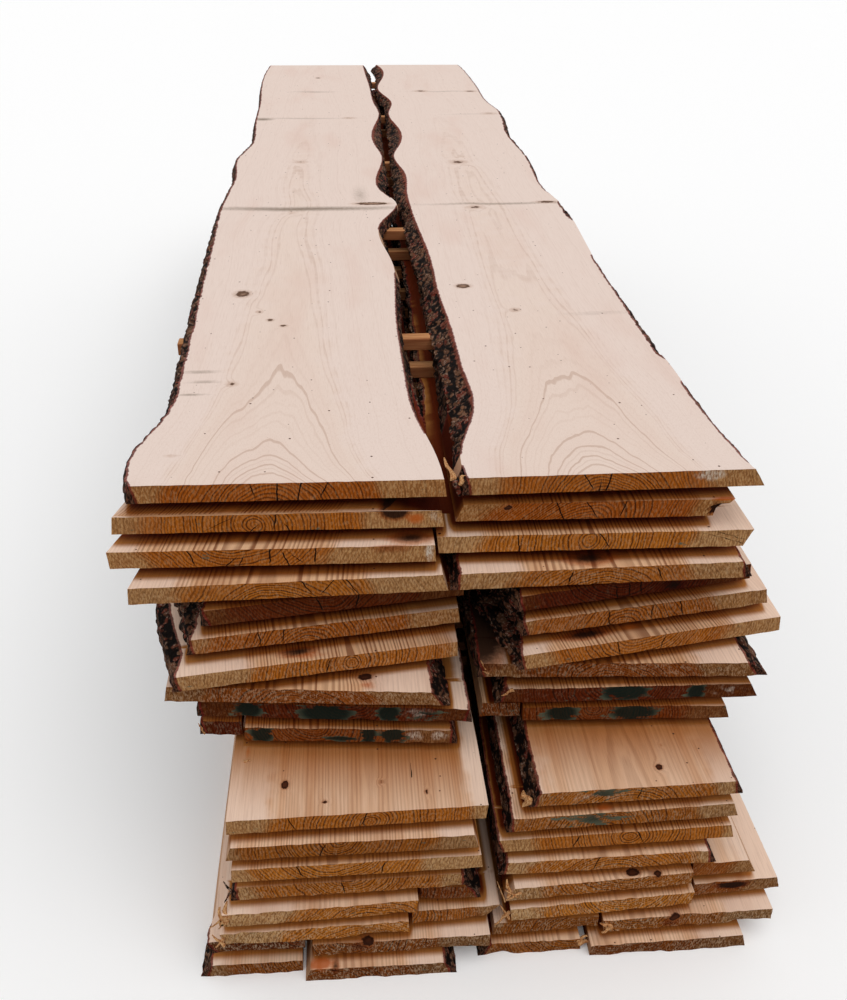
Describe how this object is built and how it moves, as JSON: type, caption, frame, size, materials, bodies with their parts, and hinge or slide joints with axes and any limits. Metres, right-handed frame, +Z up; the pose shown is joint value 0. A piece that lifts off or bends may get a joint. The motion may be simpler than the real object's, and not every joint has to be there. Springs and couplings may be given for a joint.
{
  "type": "stack of lumber",
  "caption": "Stack of live-edged sawn pine boards in two columns, laid flat with thin drying sticks between the layers.",
  "frame": {"origin": "centre of the stack's bounding box in plan, at the underside of the lowest boards", "axes": "+Z up; +Y along the boards, away from the near ends that the picture shows; +X across the stack, to the right seen from the near ends"},
  "size_m": [1.1586, 4.1916, 0.965],
  "materials": {
    "pine_board": "rough sawn, unfinished, with dark bark on the live edges",
    "drying_stick": "rough sawn, unfinished"
  },
  "bodies": {
    "root": {"board_01_left": "pine_board", "board_01_right": "pine_board", "board_02_left": "pine_board", "board_02_right": "pine_board", "board_03_left": "pine_board", "board_03_right": "pine_board", "board_04_left": "pine_board", "board_04_right": "pine_board", "board_05_left": "pine_board", "board_05_right": "pine_board", "board_06_left": "pine_board", "board_06_right": "pine_board", "board_07_left": "pine_board", "board_07_right": "pine_board", "board_08_left": "pine_board", "board_08_right": "pine_board", "board_09_left": "pine_board", "board_09_right": "pine_board", "board_10_left_inner": "pine_board", "board_10_left_outer": "pine_board", "board_10_right_inner": "pine_board", "board_10_right_outer": "pine_board", "board_11_left": "pine_board", "board_11_right": "pine_board", "board_12_left": "pine_board", "board_12_right": "pine_board", "board_13_left": "pine_board", "board_13_right": "pine_board", "board_14_left": "pine_board", "board_14_right": "pine_board", "board_15_left_inner": "pine_board", "board_15_left_outer": "pine_board", "board_15_right_inner": "pine_board", "board_15_right_outer": "pine_board", "board_16_left_inner": "pine_board", "board_16_left_outer": "pine_board", "board_16_right_inner": "pine_board", "board_16_right_outer": "pine_board", "board_17_left_inner": "pine_board", "board_17_left_outer": "pine_board", "board_17_right_inner": "pine_board", "board_17_right_outer": "pine_board", "board_18_left_inner": "pine_board", "board_18_left_outer": "pine_board", "board_18_right_inner": "pine_board", "board_18_right_outer": "pine_board", "sticks_row_1": "drying_stick", "sticks_row_2": "drying_stick", "sticks_row_3": "drying_stick", "sticks_row_4": "drying_stick", "sticks_row_5": "drying_stick"}
  },
  "joints": []
}
